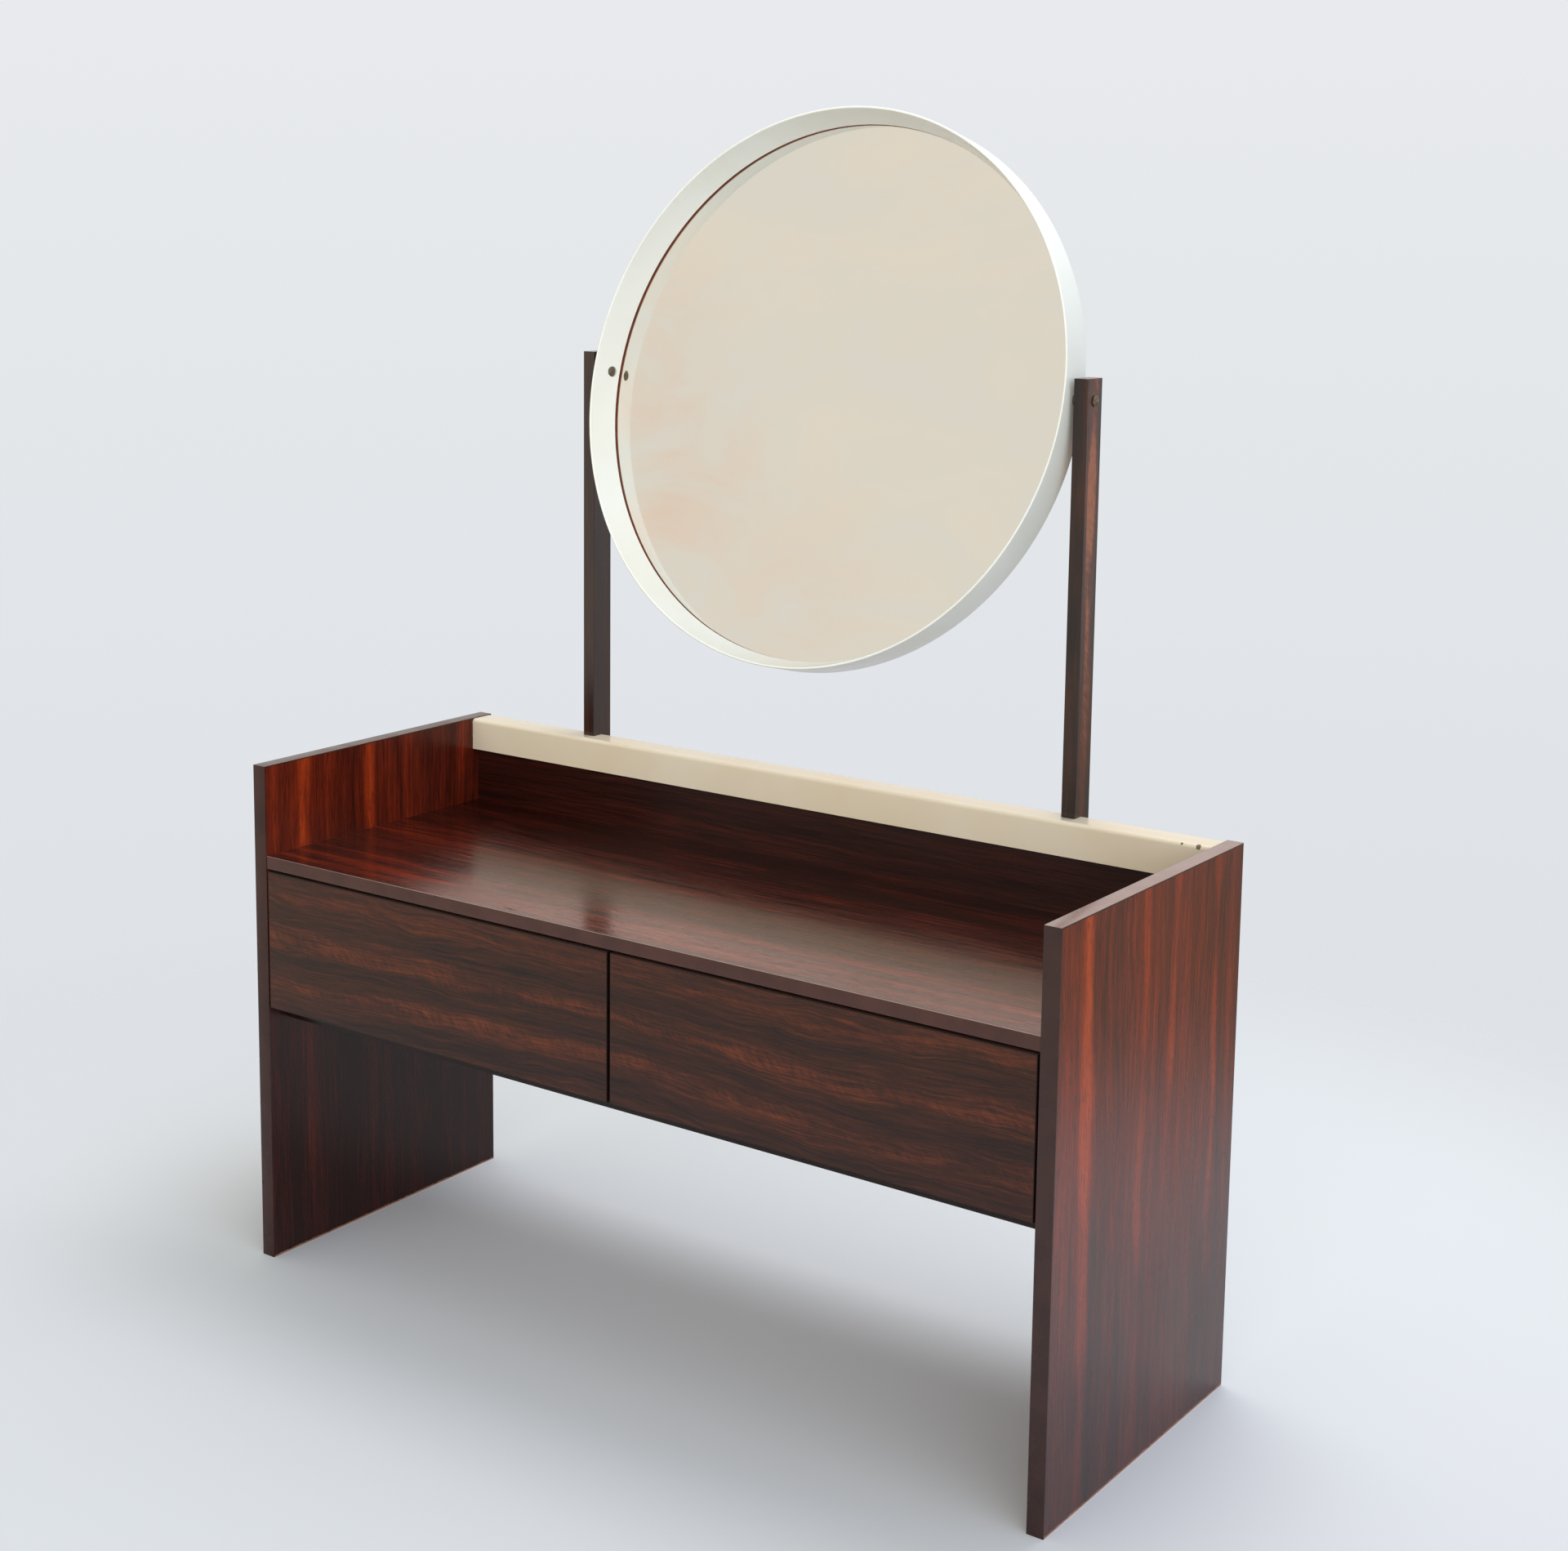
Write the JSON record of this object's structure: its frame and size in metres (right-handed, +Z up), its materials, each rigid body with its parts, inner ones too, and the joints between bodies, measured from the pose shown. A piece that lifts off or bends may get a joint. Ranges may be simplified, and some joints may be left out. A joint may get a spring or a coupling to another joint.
{
  "type": "dressing table",
  "caption": "Dressing table: slab-sided rosewood case with drawers, a cream back rail and a round mirror that tilts between posts.",
  "frame": {"origin": "on the floor, in the middle of the table's outer box with the mirror at rest", "axes": "+X to the right seen from the front, +Y to the back, +Z up"},
  "size_m": [1.14, 0.5104, 1.4531],
  "materials": {
    "rosewood": "satin lacquered veneer",
    "edge_band": "satin lacquered band",
    "cream_lacquer": "gloss cream lacquer",
    "beech": "planed",
    "plywood": "sanded",
    "hardboard": "raw",
    "mirror_glass": "silvered",
    "bronzed_steel": "bronzed",
    "steel": "plain"
  },
  "bodies": {
    "case": {"side_left": "rosewood", "side_right": "rosewood", "side_edging_left": "edge_band", "side_edging_right": "edge_band", "worktop": "rosewood", "worktop_edging": "edge_band", "lower_board": "rosewood", "lower_board_edging": "edge_band", "divider": "rosewood", "back_panel": "rosewood", "plywood_back": "plywood", "rail": "cream_lacquer", "post_left": "rosewood", "post_right": "rosewood", "post_screws": "steel", "worktop_dowels": "beech", "lower_board_dowels": "beech", "rail_dowels": "beech", "divider_dowels": "beech", "plywood_screws": "steel", "runner_left_outer": "beech", "runner_left_inner": "beech", "runner_right_inner": "beech", "runner_right_outer": "beech", "runner_screws": "steel"},
    "drawer_left": {"drawer_left_front": "rosewood", "drawer_left_edging": "edge_band", "drawer_left_side_outer": "beech", "drawer_left_side_inner": "beech", "drawer_left_back": "beech", "drawer_left_bottom": "plywood", "drawer_left_dowels": "beech", "drawer_left_nails": "steel"},
    "drawer_right": {"drawer_right_front": "rosewood", "drawer_right_edging": "edge_band", "drawer_right_side_outer": "beech", "drawer_right_side_inner": "beech", "drawer_right_back": "beech", "drawer_right_bottom": "plywood", "drawer_right_dowels": "beech", "drawer_right_nails": "steel"},
    "mirror": {"mirror_hoop": "cream_lacquer", "mirror_glass": "mirror_glass", "mirror_backing": "hardboard", "backing_pins": "steel", "pivot_bolts": "bronzed_steel", "pivot_spacers": "bronzed_steel", "cap_nuts": "bronzed_steel"}
  },
  "joints": [
    {"name": "drawer_left_slide", "type": "slide", "parent": "case", "child": "drawer_left", "axis": [0, -1, 0], "range_m": [0, 0.26]},
    {"name": "drawer_right_slide", "type": "slide", "parent": "case", "child": "drawer_right", "axis": [0, -1, 0], "range_m": [0, 0.26]},
    {"name": "mirror_tilt", "type": "hinge", "parent": "case", "child": "mirror", "pos_m": [0, 0.15604, 1.119], "axis": [1, 0, 0], "continuous": true}
  ]
}
